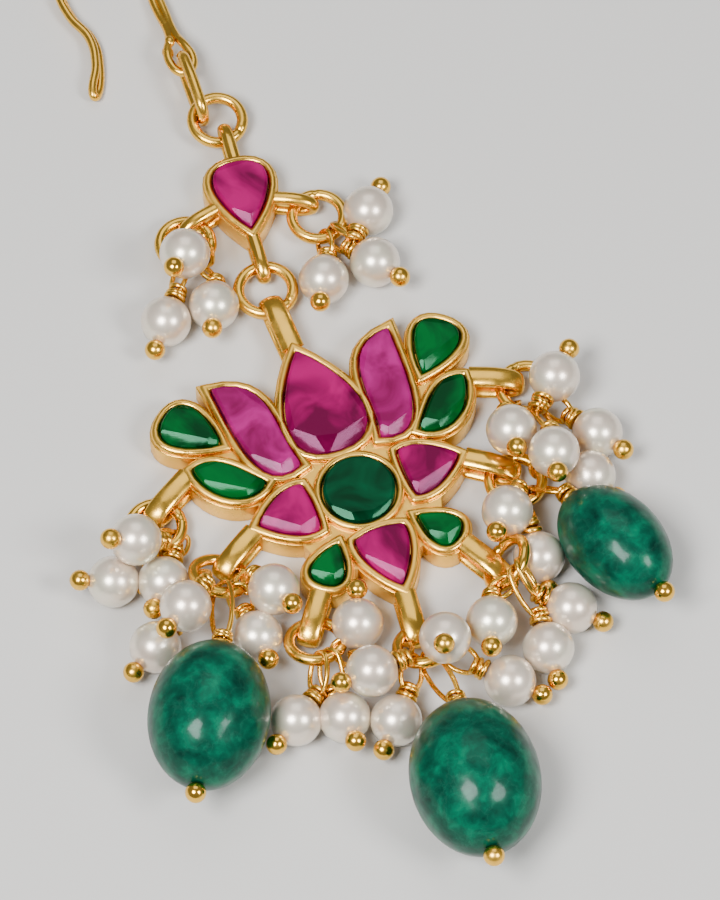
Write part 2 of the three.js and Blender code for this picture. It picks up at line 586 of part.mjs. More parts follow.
const hookPoints = [
  ...eyePoints.map(({ x, y }) => new THREE.Vector3(eyeBottom.x + x, eyeBottom.y + y, eyeLevel)),
  new THREE.Vector3(eyeBottom.x + eyeSide, eyeBottom.y + 1.2, eyeLevel),
  new THREE.Vector3(eyeBottom.x + eyeSide * 0.85, eyeBottom.y + 2.3, eyeLevel),
  ...strand(1),
  bight,
  ...strand(-1).reverse(),
  new THREE.Vector3(eyeBottom.x - eyeSide * 0.85, eyeBottom.y + 2.3, eyeLevel),
  new THREE.Vector3(eyeBottom.x - eyeSide, eyeBottom.y + 1.2, eyeLevel),
];
add("hook", closedTube(hookPoints, HOOK_WIRE, HOOK_SIDES, HOOK_STEPS), GOLD);

// Pearl clusters: a jump ring and the drops that hang in it
for (const { name } of CLUSTER_RINGS) {
  const ring = rings[name];
  let cluster = ringBody(ring);
  for (const drop of PEARL_DROPS.filter((row) => row.ring === name)) {
    const centre = beadCentre(ring, drop, PEARL.width * (0.5 + drop.rise));
    cluster = cluster.add(dropBody(PEARL, drop, ring, centre, -EYE_TOUCH));
  }
  add(`pearls_${name}`, cluster, NACRE);
}

// Emerald drops
for (const drop of EMERALD_DROPS) {
  const ring = rings[drop.ring];
  const bead = { ...EMERALD_SHAPE, width: drop.width, length: drop.length };
  const lift = radians(drop.lift);
  const height = Math.hypot(bead.width * Math.cos(lift), bead.length * Math.sin(lift)) / 2;
  add(drop.name, dropBody(bead, drop, ring, beadCentre(ring, drop, height), EYE_CLEARANCE), BERYL);
}

export default group;
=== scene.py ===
# %% [markdown]
# # A maang tikka in Blender
#
# A maang tikka is the jewel worn at the parting of the hair. This one is a gold lotus with thirteen
# stones, a teardrop stone above it, a wire hook, and drops of pearl and green beads that hang in
# jump rings. It lies on a table, as it would in a jeweller's tray.
#
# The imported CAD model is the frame: every piece here goes where its solid says. The pieces are made in
# millimetres, because the operators of Blender work best on sizes near one, and are scaled to metres
# when they are done.

# %% Load the frame
import math
import random
from collections import namedtuple

import bpy
from mathutils import Matrix, Vector


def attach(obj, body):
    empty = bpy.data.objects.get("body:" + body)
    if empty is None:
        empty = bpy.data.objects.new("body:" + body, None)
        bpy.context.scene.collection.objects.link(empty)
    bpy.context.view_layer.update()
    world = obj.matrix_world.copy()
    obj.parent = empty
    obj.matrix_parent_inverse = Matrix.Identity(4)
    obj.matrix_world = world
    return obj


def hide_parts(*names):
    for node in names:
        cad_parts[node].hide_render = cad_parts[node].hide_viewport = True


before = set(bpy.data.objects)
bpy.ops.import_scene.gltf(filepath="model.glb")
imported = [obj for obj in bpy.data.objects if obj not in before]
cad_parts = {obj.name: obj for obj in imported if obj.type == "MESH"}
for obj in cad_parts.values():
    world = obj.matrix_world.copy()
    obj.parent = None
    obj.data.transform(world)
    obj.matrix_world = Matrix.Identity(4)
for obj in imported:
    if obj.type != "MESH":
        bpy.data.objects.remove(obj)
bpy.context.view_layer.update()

MM = 0.001
random.seed(7)

# %% [markdown]
# ## A camera at the photograph's angle
#
# The photograph looks down on the jewel from its lower left, with a long lens. A long lens half a
# metre away keeps the near and the far end of the jewel at nearly the same scale.

# %% Camera
AZIMUTH = math.radians(-22)
ELEVATION = math.radians(61)
DISTANCE = 500
SCALE = 12.9
FRAME_HEIGHT = 900
SENSOR = 36
NEAREST = 0.05
FURTHEST = 5

level = math.cos(ELEVATION)
back = Vector((math.sin(AZIMUTH) * level, -math.cos(AZIMUTH) * level, math.sin(ELEVATION)))
right = Vector((math.cos(AZIMUTH), math.sin(AZIMUTH), 0))
up = back.cross(right)
LOTUS_MIDDLE = Vector((-0.1, 0, 2.4))
RIGHT_OF_LOTUS = 0.16
ABOVE_LOTUS = 3.1
target = LOTUS_MIDDLE + right * RIGHT_OF_LOTUS + up * ABOVE_LOTUS
bpy.ops.object.select_all(action="DESELECT")
bpy.ops.object.camera_add(
    location=(target + back * DISTANCE) * MM,
    rotation=(-back).to_track_quat("-Z", "Y").to_euler(),
)
camera = bpy.context.object
camera.data.sensor_width = SENSOR
camera.data.lens = SENSOR * DISTANCE * SCALE / FRAME_HEIGHT
camera.data.clip_start = NEAREST
camera.data.clip_end = FURTHEST
bpy.context.scene.camera = camera
print("lens in mm", round(camera.data.lens))

# %% [markdown]
# ## Helpers for a finished piece
#
# Every piece ends the same way. It is scaled to metres about the origin and its place is put into its
# mesh, so that patterns on Object coordinates stay where they are. Then it rides on the body that
# the frame has and stands for its CAD node.

# %% Selecting, joining and finishing
def only(*pieces):
    bpy.ops.object.select_all(action="DESELECT")
    for piece in pieces:
        piece.select_set(True)
    bpy.context.view_layer.objects.active = pieces[0]


def place(piece, matrix):
    piece.data.transform(matrix)
    return piece


def join(pieces):
    only(*pieces)
    bpy.ops.object.join()
    return bpy.context.object


def copy_of(piece, matrix):
    twin = piece.copy()
    twin.data = piece.data.copy()
    bpy.context.collection.objects.link(twin)
    return place(twin, matrix)


def apply_all(piece):
    only(piece)
    for modifier in list(piece.modifiers):
        bpy.ops.object.modifier_apply(modifier=modifier.name)


def paint(piece, material):
    piece.data.materials.clear()
    piece.data.materials.append(material)
    return piece


def finish_piece(piece, name, slot, *nodes, smooth=40):
    only(piece)
    bpy.ops.object.transform_apply(location=True, rotation=True, scale=True)
    bpy.ops.object.shade_smooth_by_angle(angle=math.radians(smooth))
    place(piece, Matrix.Scale(MM, 4))
    piece.name = name
    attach(piece, "root")
    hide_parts(*nodes)
    print(name, len(piece.data.polygons), "faces")
    return piece


# %% [markdown]
# ## Helpers for edit mode
#
# Most shapes start as a primitive whose corners are then moved, extruded or bevelled in edit mode. An
# operator acts on all that is selected, so each helper first selects just what it needs: the whole
# mesh, or the corners that lie at a wanted place.

# %% Stretching, picking and extruding
def edit_all(piece):
    only(piece)
    bpy.ops.object.mode_set(mode="EDIT")
    bpy.ops.mesh.select_all(action="SELECT")


def edited():
    bpy.ops.object.mode_set(mode="OBJECT")


def stretch(piece, shares):
    edit_all(piece)
    bpy.ops.transform.resize(value=shares, center_override=(0, 0, 0))
    edited()


def pick_corners(piece, wanted):
    edit_all(piece)
    bpy.ops.mesh.select_all(action="DESELECT")
    edited()
    for corner in piece.data.vertices:
        corner.select = wanted(corner.co)
    bpy.ops.object.mode_set(mode="EDIT")


def raise_and_close(height):
    bpy.ops.mesh.extrude_region_move(TRANSFORM_OT_translate={"value": (0, 0, height)})
    bpy.ops.mesh.select_all(action="SELECT")
    bpy.ops.mesh.normals_make_consistent(inside=False)
    edited()


# %% [markdown]
# ## Wires
#
# Rings, eyes, the link and the hook are all bent wire. A curve through a few points with a round
# bevel is the quickest way to bend one, and converting it gives an ordinary mesh.

# %% A helper for bent wire
def wire(points, radius, closed=True, steps=6, roundness=3):
    bpy.ops.object.select_all(action="DESELECT")
    bpy.ops.curve.primitive_bezier_curve_add(location=(0, 0, 0))
    line = bpy.context.object
    line.data.dimensions = "3D"
    spline = line.data.splines[0]
    spline.bezier_points.add(len(points) - 2)
    for knot, point in zip(spline.bezier_points, points):
        knot.co = point
        knot.handle_left_type = "AUTO"
        knot.handle_right_type = "AUTO"
    spline.use_cyclic_u = closed
    spline.resolution_u = steps
    line.data.bevel_depth = radius
    line.data.bevel_resolution = roundness
    line.data.use_fill_caps = not closed
    only(line)
    bpy.ops.object.convert(target="MESH")
    return bpy.context.object


# %% [markdown]
# ## Gold
#
# The jewel is polished yellow gold, and its rims are brushed a little duller. Two materials share one
# recipe. A fine noise bends the light by a hair, as hand polish does, and a broad one makes some
# places duller than others. In the grooves the gold's colour is painted darker, as painted shade, where
# an ambient occlusion node finds them closed in. The recipe is written with a few helpers, which the
# stones and pearls use too. They take the values of a node by the names of its sockets, with underscores
# for the spaces.

# %% Helpers for materials
def new_material(name):
    material = bpy.data.materials.new(name)
    material.use_nodes = True
    return material, material.node_tree.nodes["Principled BSDF"]


def socket_values(node, **values):
    for label, value in values.items():
        node.inputs[label.replace("_", " ")].default_value = value


def add_node(material, kind, **values):
    node = material.node_tree.nodes.new(f"ShaderNode{kind}")
    socket_values(node, **values)
    return node


def link(material, source, target):
    material.node_tree.links.new(source, target)


def noise(material, **values):
    coordinates = add_node(material, "TexCoord")
    texture = add_node(material, "TexNoise", **values)
    link(material, coordinates.outputs["Object"], texture.inputs["Vector"])
    return texture


def bump(material, height, *normals, **values):
    relief = add_node(material, "Bump", **values)
    link(material, height, relief.inputs["Height"])
    for normal in normals:
        link(material, relief.outputs["Normal"], normal)


def colour_mix(material):
    mix = add_node(material, "Mix")
    mix.data_type = "RGBA"
    return mix


def colour_ramp(material, factor, stops):
    node = add_node(material, "ValToRGB")
    first, *between, last = stops
    ends = node.color_ramp.elements
    for element, (position, colour) in ((ends[0], first), (ends[1], last)):
        element.position = position
        element.color = colour
    for position, colour in between:
        ends.new(position).color = colour
    link(material, factor, node.inputs["Fac"])
    return node


# %% Gold materials
GOLD_COLOUR = (1, 0.58, 0.08, 1)
SATIN_COLOUR = (1, 0.58, 0.09, 1)
# Painted shade: the darker gold that the grooves are painted with, and how far the ambient occlusion looks
# for them.
GROOVE_SHADE_COLOUR = (0.58, 0.3, 0.05, 1)
GROOVE_SHADE_REACH = 0.0006
HAMMER_DEPTH = 0.00004


def gold(name, colour, roughness, hammered):
    material, shader = new_material(name)
    shader.inputs["Metallic"].default_value = 1
    wear = noise(material, Scale=700, Detail=4)
    dull = add_node(
        material, "MapRange",
        From_Min=0.35, From_Max=0.7, To_Min=roughness * 0.7, To_Max=roughness * 1.5,
    )
    link(material, wear.outputs["Fac"], dull.inputs["Value"])
    link(material, dull.outputs["Result"], shader.inputs["Roughness"])
    # Painted shade: where the ambient occlusion node finds a groove, the base colour is mixed toward a
    # darker gold.
    groove = add_node(material, "AmbientOcclusion", Distance=GROOVE_SHADE_REACH)
    groove.samples = 8
    groove_shaded_colour = colour_mix(material)
    socket_values(groove_shaded_colour, A=GROOVE_SHADE_COLOUR, B=colour)
    link(material, groove.outputs["AO"], groove_shaded_colour.inputs["Factor"])
    link(material, groove_shaded_colour.outputs["Result"], shader.inputs["Base Color"])
    hammer = noise(material, Scale=1600, Detail=3)
    bump(
        material, hammer.outputs["Fac"], shader.inputs["Normal"],
        Strength=hammered, Distance=HAMMER_DEPTH,
    )
    return material


polished_gold = gold("polished_gold", GOLD_COLOUR, 0.22, 0.2)
satin_gold = gold("satin_gold", SATIN_COLOUR, 0.29, 0.5)
print("gold finishes", polished_gold.name, satin_gold.name)

# %% [markdown]
# ## Stones
#
# The stones are cut from clear but cloudy material. A soft noise mixes a deep and a bright colour, and a
# little light passes through. The mixed colour is partly the stone's own uneven tone and partly painted
# light and shade: bright where light would gather in the stone, deep where it would be lost. In the ruby
# the bright colour lies where the noise is low, which paints the middle stone lighter at its top and
# darker at its bottom. The gloss is kept low and tinted, so that the flat tops keep their colour and only
# the facets shine. The green stones have the same recipe with other colours.

# %% Stone materials
RED_GLINT = (1, 0.4, 0.75, 1)
PINK_GLINT = (1, 0.6, 0.85, 1)
GREEN_GLINT = (0.3, 1, 0.6, 1)


def stone_material(name, low, high, scale, glint):
    material, shader = new_material(name)
    socket_values(
        shader, Roughness=0.12, IOR=1.6, Transmission_Weight=0.1,
        Specular_IOR_Level=0.1, Specular_Tint=glint,
    )
    # The deep and bright colours are partly the stone's own cloudy tone and partly painted light and
    # shade.
    cloud = noise(material, Scale=scale, Detail=3, Distortion=0.8)
    ramp = colour_ramp(material, cloud.outputs["Fac"], [(0.36, low), (0.64, high)])
    link(material, ramp.outputs["Color"], shader.inputs["Base Color"])
    bump(material, cloud.outputs["Fac"], shader.inputs["Normal"], Strength=0.15, Distance=0.0002)
    return material


# The ruby's bright colour comes first, so the noise paints the middle stone lighter at its top and darker
# at its bottom: painted light and shade.
ruby = stone_material("ruby", (0.34, 0.0, 0.105, 1), (0.09, 0.0, 0.026, 1), 260, RED_GLINT)
pink = stone_material("pink_stone", (0.15, 0.0, 0.05, 1), (0.36, 0.008, 0.16, 1), 300, PINK_GLINT)
green = stone_material("green_stone", (0.0, 0.02, 0.003, 1), (0.0, 0.085, 0.013, 1), 320, GREEN_GLINT)
deep_green = stone_material(
    "deep_green_stone", (0.0, 0.014, 0.004, 1), (0.0, 0.055, 0.02, 1), 260, GREEN_GLINT
)
print("stone finishes", [material.name for material in (ruby, pink, green, deep_green)])

# %% [markdown]
# ## Pearls and emerald beads
#
# A pearl is layer on layer of thin shell. It is soft white with a faint pink and a faint yellow in it,
# it lets a little light in, and it gleams half like metal under a clear coat. A bead of emerald is
# cloudy green stone with pale veins and dark patches, and its skin isn't quite even.

# %% Pearl material
pearl, pearl_shader = new_material("pearl")
socket_values(
    pearl_shader, Metallic=0.55, Roughness=0.31, Subsurface_Weight=0.1, Subsurface_Scale=0.0008,
    Subsurface_Radius=(1, 0.8, 0.7), Coat_Weight=1, Coat_Roughness=0.24, Coat_IOR=1.7,
    Specular_IOR_Level=0.7,
)
overtone = noise(pearl, Scale=330, Detail=2)
lustre = colour_ramp(pearl, overtone.outputs["Fac"], [
    (0.35, (0.8, 0.66, 0.53, 1)),
    (0.5, (0.84, 0.73, 0.6, 1)),
    (0.66, (0.78, 0.73, 0.57, 1)),
])
link(pearl, lustre.outputs["Color"], pearl_shader.inputs["Base Color"])

# %% Emerald bead material
VEIN_WIDTH = 0.035
VEIN_STRENGTH = 0.03
VEIN_WANDER = 0.004
VEIN_COLOUR = (0.16, 0.5, 0.36, 1)

beryl, beryl_shader = new_material("beryl")
socket_values(
    beryl_shader, Roughness=0.3, Specular_IOR_Level=0.16, Specular_Tint=(0.5, 1, 0.8, 1),
    Coat_Weight=0.14, Coat_Roughness=0.12, IOR=1.45,
)
patches = noise(beryl, Scale=560, Detail=10, Roughness=0.62, Distortion=0.25)
mottle = colour_ramp(beryl, patches.outputs["Fac"], [
    (0.3, (0.0, 0.02, 0.013, 1)),
    (0.5, (0.0, 0.06, 0.034, 1)),
    (0.75, (0.0, 0.15, 0.075, 1)),
])
warp = colour_mix(beryl)
socket_values(warp, Factor=VEIN_WANDER)
link(beryl, add_node(beryl, "TexCoord").outputs["Object"], warp.inputs["A"])
link(beryl, patches.outputs["Color"], warp.inputs["B"])
veins = add_node(beryl, "TexVoronoi")
veins.feature = "DISTANCE_TO_EDGE"
veins.inputs["Scale"].default_value = 380
link(beryl, warp.outputs["Result"], veins.inputs["Vector"])
vein_line = add_node(beryl, "MapRange", From_Max=VEIN_WIDTH, To_Min=VEIN_STRENGTH, To_Max=0)
link(beryl, veins.outputs["Distance"], vein_line.inputs["Value"])
veined = colour_mix(beryl)
socket_values(veined, B=VEIN_COLOUR)
link(beryl, vein_line.outputs["Result"], veined.inputs["Factor"])
link(beryl, mottle.outputs["Color"], veined.inputs["A"])
link(beryl, veined.outputs["Result"], beryl_shader.inputs["Base Color"])
hollows = noise(beryl, Scale=260, Detail=2)
bump(
    beryl, hollows.outputs["Fac"], beryl_shader.inputs["Normal"], beryl_shader.inputs["Coat Normal"],
    Strength=0.5, Distance=0.0006,
)
print("drop finishes", pearl.name, beryl.name)

# %% [markdown]
# ## Where the stones lie
#
# Each outline is a run of curves in a stone's own frame, as shares of its length, and each row of the
# table says where a stone stands round the lotus. These are the same few shapes and angles that the
# CAD model is built from, so that the fine pieces lie on its solids.

# %% Outlines and stones
PETAL = [((1, 0), (0.52, 0.41), (0, 0.48), (0, 0)), ((0, 0), (0, -0.48), (0.52, -0.41), (1, 0))]
DROP = [((1, 0), (1, 0.54), (0.48, 0.42), (0, 0)), ((0, 0), (0.48, -0.42), (1, -0.54), (1, 0))]
LEAF = [((1, 0), (0.75, 0.36), (0.3, 0.08), (0, 0)), ((0, 0), (0.1, -0.42), (0.72, -0.42), (1, 0))]
CRESCENT = [((1, 0), (0.72, 0.46), (0.35, 0.05), (0, 0)), ((0, 0), (0.03, -0.48), (0.6, -0.16), (1, 0))]
SHIELD = [
    ((1, 0), (0.62, 0.4), (0.3, 0.53), (0.03, 0.45)),
    ((0.03, 0.45), (-0.02, 0.15), (-0.02, -0.15), (0.03, -0.45)),
    ((0.03, -0.45), (0.3, -0.53), (0.62, -0.4), (1, 0)),
]
SPEAR = [
    ((1, 0), (0.66, 0.33), (0.25, 0.46), (0.05, 0.39)),
    ((0.05, 0.39), (-0.05, 0.13), (-0.05, -0.13), (0.05, -0.39)),
    ((0.05, -0.39), (0.25, -0.46), (0.66, -0.33), (1, 0)),
]
ROUND_STONE = 5.9
RIM_WIDTH = 0.6
STONE_GAP = 0.12
SETTING_HEIGHT = 2.5
STONE_RISE = 0.35
STONE_SEAT = 1.2

Stone = namedtuple("Stone", "name outline at away points length finish slot mirrored heart")
STONES = [
    Stone("ruby_centre", PETAL, 90, 0, 90, 9.7, ruby, "ruby", False, 0.4),
    Stone("pink_petal", CRESCENT, 49, 1.1, 64, 10, pink, "pink_stone", True, 0.5),
    Stone("green_outer", DROP, 42.5, 7.6, 49, 5.2, green, "green_stone", True, 0.62),
    Stone("green_leaf", LEAF, 27.6, 3.3, 31.6, 6.1, green, "green_stone", True, 0.52),
    Stone("ruby_side", SHIELD, 0, 0, 0, 4.7, ruby, "ruby", True, 0.38),
    Stone("green_small", DROP, -49, 1.1, -50.3, 3.9, green, "green_stone", True, 0.62),
    Stone("ruby_bottom", SPEAR, -90, 0, -90, 5.3, ruby, "ruby", False, 0.36),
]


def unit(heading):
    angle = math.radians(heading)
    return Vector((math.cos(angle), math.sin(angle), 0))


def aim(heading, lift):
    angle = math.radians(lift)
    return unit(heading) * math.cos(angle) + Vector((0, 0, math.sin(angle)))


def curve_point(a, b, c, d, t):
    s = 1 - t
    return a * s**3 + b * 3 * s * s * t + c * 3 * s * t * t + d * t**3


Placed = namedtuple("Placed", "label base points length side outline finish slot heart end")


def set_stone(row, side, base, points, label):
    end = base + unit(points) * row.length
    return Placed(label, base, points, row.length, side, row.outline, row.finish, row.slot, row.heart, end)


def mirrored(heading, side):
    return heading if side > 0 else 180 - heading


inner_ring = ROUND_STONE / 2 + RIM_WIDTH + 2 * STONE_GAP
placed_stones = []
for row in STONES:
    for hand, side in (("_right", 1), ("_left", -1)) if row.mirrored else (("", 1),):
        label = row.name + hand
        base = unit(mirrored(row.at, side)) * (inner_ring + row.away)
        placed_stones.append(set_stone(row, side, base, mirrored(row.points, side), label))
print(len(placed_stones), "stones round the middle one")

# %% [markdown]
# ## From an outline to a loop of points
#
# A circle primitive with as many corners as the outline has points is the start of every stone and
# rim. Its corners are moved onto the outline, or onto the outline grown by some distance.

# %% Outline helpers
CURVE_STEPS = 12
ROUND_STEPS = 48
SHARPEST_MITRE = 0.6


def outline_of(stone, steps=CURVE_STEPS):
    axis = unit(stone.points)
    left = Vector((-axis.y, axis.x, 0)) * stone.side

    def spot(share):
        return stone.base + (axis * share[0] + left * share[1]) * stone.length

    points = []
    for piece in stone.outline:
        a, b, c, d = (spot(share) for share in piece)
        points += [curve_point(a, b, c, d, i / steps) for i in range(steps)]
    turning = sum(p.cross(q).z for p, q in zip(points, points[1:] + points[:1]))
    return points if turning > 0 else points[::-1]


def grown(points, distance):
    moved = []
    for i, point in enumerate(points):
        a = (point - points[i - 1]).normalized()
        b = (points[(i + 1) % len(points)] - point).normalized()
        normal = Vector((a.y + b.y, -a.x - b.x, 0)).normalized()
        mitre = 1 / max(normal.dot(Vector((a.y, -a.x, 0))), SHARPEST_MITRE)
        moved.append(point + normal * distance * mitre)
    return moved


def blade(points, level):
    bpy.ops.object.select_all(action="DESELECT")
    bpy.ops.mesh.primitive_circle_add(
        vertices=len(points), radius=1, fill_type="NGON", location=(0, 0, 0)
    )
    shape = bpy.context.object
    for corner, point in zip(shape.data.vertices, points):
        corner.co = Vector((point.x, point.y, level))
    return shape


round_outline = [unit(360 * i / ROUND_STEPS) * ROUND_STONE / 2 for i in range(ROUND_STEPS)]
outlines = {stone.label: outline_of(stone) for stone in placed_stones}
print("corners of an outline", {len(points) for points in outlines.values()})

# %% [markdown]
# ## Cutting the stones
#
# A real stone of this kind is flat on top, with a narrow bevel all round and a few broad, soft facets.
# The outline, drawn in a little so that the rim can reach over it, is extruded to its full height and
# its edges are bevelled. Each facet is then one cut of a slanted plane, as a lapidary grinds it. Two
# facets of each stone face the soft boxes and shine, and the others stay dark. A last small bevel
# softens the edges between the facets.

# %% Cut a stone
FLOOR_OF_STONE = STONE_SEAT + STONE_GAP
TOP_OF_STONE = SETTING_HEIGHT + STONE_RISE
STONE_INSET = 0.12
STONE_EDGE = 0.24
STONE_EDGE_ANGLE = 60
FACET_EDGE = 0.16
FACET_EDGE_ANGLE = 8
STONE_BEVEL_STEPS = 3
STONE_SHADING = 28
Facet = namedtuple("Facet", "heading width tilt")
FACETS = {
    "ruby_centre": [Facet(-134, 1.2, 30), Facet(-75, 1.2, 32), Facet(-104, 1.3, 20), Facet(170, 0.5, 22),
                    Facet(10, 0.5, 22)],
    "pink_petal": [Facet(-134, 0.8, 30), Facet(-70, 0.9, 31), Facet(150, 0.5, 20), Facet(30, 0.6, 24)],
    "green_outer": [Facet(-125, 0.9, 30), Facet(-70, 0.8, 32), Facet(60, 0.5, 20)],
    "green_leaf": [Facet(-125, 0.8, 30), Facet(-65, 0.7, 32), Facet(90, 0.5, 20)],
    "ruby_side": [Facet(-130, 0.8, 30), Facet(-75, 0.9, 32), Facet(40, 0.5, 20)],
    "green_small": [Facet(-125, 0.8, 30), Facet(-75, 0.7, 32)],
    "ruby_bottom": [Facet(-138, 0.9, 30), Facet(-70, 0.6, 32), Facet(40, 0.5, 20)],
    "ruby_teardrop": [Facet(-134, 0.9, 30), Facet(-72, 0.8, 32), Facet(90, 0.5, 20)],
    "emerald_round": [Facet(-134, 0.55, 26), Facet(-75, 0.55, 27), Facet(-104, 0.7, 20)],
}


def slab(points, low, high):
    body = blade(points, low)
    edit_all(body)
    raise_and_close(high - low)
    return body


def soften(piece, width, segments, angle):
    modifier = piece.modifiers.new("soft_edges", "BEVEL")
    modifier.width = width
    modifier.segments = segments
    modifier.limit_method = "ANGLE"
    modifier.angle_limit = math.radians(angle)
    apply_all(piece)
    return piece


def cut_facet(body, points, heart, facet):
    way = unit(facet.heading)
    extent = max((point - heart).dot(way) for point in points)
    spot = heart + way * (extent - facet.width)
    tilt = math.radians(facet.tilt)
    edit_all(body)
    bpy.ops.mesh.bisect(
        plane_co=(spot.x, spot.y, TOP_OF_STONE),
        plane_no=way * math.sin(tilt) + Vector((0, 0, math.cos(tilt))),
        use_fill=True, clear_outer=True,
    )
    edited()


def cut_stone(outline, heart, facets):
    points = grown(outline, -STONE_INSET)
    body = slab(points, FLOOR_OF_STONE, TOP_OF_STONE)
    soften(body, STONE_EDGE, STONE_BEVEL_STEPS, STONE_EDGE_ANGLE)
    for facet in facets:
        cut_facet(body, points, heart, facet)
    return soften(body, FACET_EDGE, STONE_BEVEL_STEPS, FACET_EDGE_ANGLE)


def make_stone(node, outline, heart, finish, slot):
    kind = node.removesuffix("_left").removesuffix("_right")
    body = paint(cut_stone(outline, heart, FACETS[kind]), finish)
    return finish_piece(body, f"{node}_stone", slot, node, smooth=STONE_SHADING)


def heart_of(stone):
    return stone.base + unit(stone.points) * stone.length * stone.heart


for stone in placed_stones:
    make_stone(stone.label, outlines[stone.label], heart_of(stone), stone.finish, stone.slot)
make_stone("emerald_round", round_outline, Vector((0, 0, 0)), deep_green, "deep_green_stone")

# %% [markdown]
# ## The lotus setting
#
# Every stone sits in a cup: a flat base, a lower step and a raised rim of gold that reaches over the
# stone's edge. The rim and the step are walls round the outline. Two loops, one inside the other, are
# bridged to a flat strip, which is extruded upwards, and a bevel rounds its edges. The petals' cups
# touch and are soldered, which leaves a fine groove between two rims. A flat web under the stones
# fills the gaps between the cups.

# %% Rims and steps
RIM_INNER = -0.06
RIM_OUTER = 0.6
RIM_FOOT = 0.9
RIM_EDGE = 0.32
RIM_BEVEL_STEPS = 4
RIM_BEVEL_ANGLE = 50
STEP_INNER = 0.4
STEP_OUTER = STONE_GAP + RIM_WIDTH
STEP_EDGE = 0.08
STEP_HEIGHT = 2.02
CUP_REACH = STEP_OUTER - 0.04
WEB_HEIGHT = 2.0
WEB_REACH = 0.62


def ring_wall(points, inner, outer, low, high, edge):
    loops_of_edge = [blade(grown(points, reach), low) for reach in (outer, inner)]
    for piece in loops_of_edge:
        edit_all(piece)
        bpy.ops.mesh.delete(type="ONLY_FACE")
        edited()
    wall = join(loops_of_edge)
    edit_all(wall)
    bpy.ops.mesh.bridge_edge_loops()
    bpy.ops.mesh.select_all(action="SELECT")
    raise_and_close(high - low)
    return soften(wall, edge, RIM_BEVEL_STEPS, RIM_BEVEL_ANGLE)


def setting(outline_list):
    pieces = []
    for points in outline_list:
        pieces.append(slab(grown(points, CUP_REACH), 0, STONE_SEAT))
        pieces.append(ring_wall(points, RIM_INNER, RIM_OUTER, RIM_FOOT, SETTING_HEIGHT, RIM_EDGE))
        pieces.append(ring_wall(points, STEP_INNER, STEP_OUTER, 0, STEP_HEIGHT, STEP_EDGE))
    for piece in pieces:
        paint(piece, satin_gold)
    return pieces


lotus_pieces = setting([*outlines.values(), round_outline])
web_corners = [stone.base.lerp(stone.end, WEB_REACH) for stone in placed_stones]
web_corners.sort(key=lambda spot: math.atan2(spot.y, spot.x))
lotus_pieces.append(paint(slab(web_corners, 0, WEB_HEIGHT), satin_gold))
print(len(lotus_pieces), "parts of the setting")

# %% [markdown]
# ## Loops of flat band and of wire
#
# The drops hang in loops that are soldered under the rims. On the lotus they are flat bands with a
# rounded, polished face, and on the teardrop thinner wires. Both are a round wire bent in an upright
# plane and then widened across it.

# %% Loops
BAND_WIDTH = 1.78
BAIL_WIDTH = 1.85
BAND_THICKNESS = 0.5
BAND_CROWN = 0.74
BAND_BEND = 2.4
LOOP_WIRE_WIDTH = 1.1
LOOP_WIRE_THICKNESS = 0.72
LOOP_WIRE_CROWN = 0.84
LOOP_WIRE_BEND = 1.9
LOOP_ROOT = 0.35
LOOP_HEIGHT = 2.5
LOOP_STEPS = 12
LOOP_RETURN = 0.9

Loop = namedtuple("Loop", "name stone heading length width")
BANDS = [
    Loop("top", "ruby_centre", 90, 5.8, BAIL_WIDTH),
    Loop("leaf_left", "green_leaf_left", 209.7, 5.2, BAND_WIDTH),
    Loop("side_left", "ruby_side_left", 211, 5.0, BAND_WIDTH),
    Loop("small_left", "green_small_left", 233, 4.9, BAND_WIDTH),
    Loop("bottom", "ruby_bottom", 262, 4.9, BAND_WIDTH),
    Loop("small_right", "green_small_right", 296, 5.3, BAND_WIDTH),
    Loop("side_right", "ruby_side_right", 323, 4.9, BAND_WIDTH),
    Loop("leaf_right", "green_leaf_right", 335, 4.8, BAND_WIDTH),
]


def loop_body(start, heading, length, width, thickness, bend):
    rise = (LOOP_HEIGHT - thickness) / 2
    middle = LOOP_HEIGHT / 2
    end = length - thickness / 2
    points = [Vector((LOOP_ROOT, 0, middle - rise))]
    for i in range(LOOP_STEPS + 1):
        angle = math.pi * (i / LOOP_STEPS - 0.5)
        points.append(Vector((end - bend + bend * math.cos(angle), 0, middle + rise * math.sin(angle))))
    points.append(Vector((LOOP_ROOT, 0, middle + rise * LOOP_RETURN)))
    body = wire(points, thickness / 2, closed=False, steps=5, roundness=10)
    stretch(body, (1, width / thickness, 1))
    turn = Matrix.Translation(start) @ Matrix.Rotation(math.radians(heading), 4, "Z")
    return paint(place(body, turn), polished_gold)


loops = {}
for row in BANDS:
    stone = next(item for item in placed_stones if item.label == row.stone)
    loops[row.name] = (stone.end, row.heading, row.length, BAND_THICKNESS)
    lotus_pieces.append(loop_body(stone.end, row.heading, row.length, row.width, BAND_CROWN, BAND_BEND))
finish_piece(join(lotus_pieces), "lotus_gold", "gold", "lotus_setting")

# %% [markdown]
# ## Rings, and where they lie
#
# A ring's wire passes through its loop at a seat near the loop's end. Its middle lies a radius further,
# at a heading of its own, and some rings are propped up on the pearls under them.

# %% Ring places
RING_LEVEL = LOOP_HEIGHT / 2
Size = namedtuple("Size", "radius wire")
JUMP_RING = Size(2.05, 0.84)
UPPER_RING = Size(2.0, 0.86)
MIDDLE_RING = Size(2.15, 0.88)
Ring = namedtuple("Ring", "centre outward across size heading")


def seat_in(loop, wire_size, slack):
    start, heading, length, thickness = loop
    return start + unit(heading) * (length - thickness - wire_size / 2 - slack)


def ring_from(seat, heading, tilt, roll, size):
    outward = aim(heading, tilt)
    centre = Vector((seat.x, seat.y, RING_LEVEL)) + outward * size.radius
    across = Matrix.Rotation(math.radians(roll), 3, outward) @ unit(heading + 90)
    return Ring(centre, outward, across, size, heading)


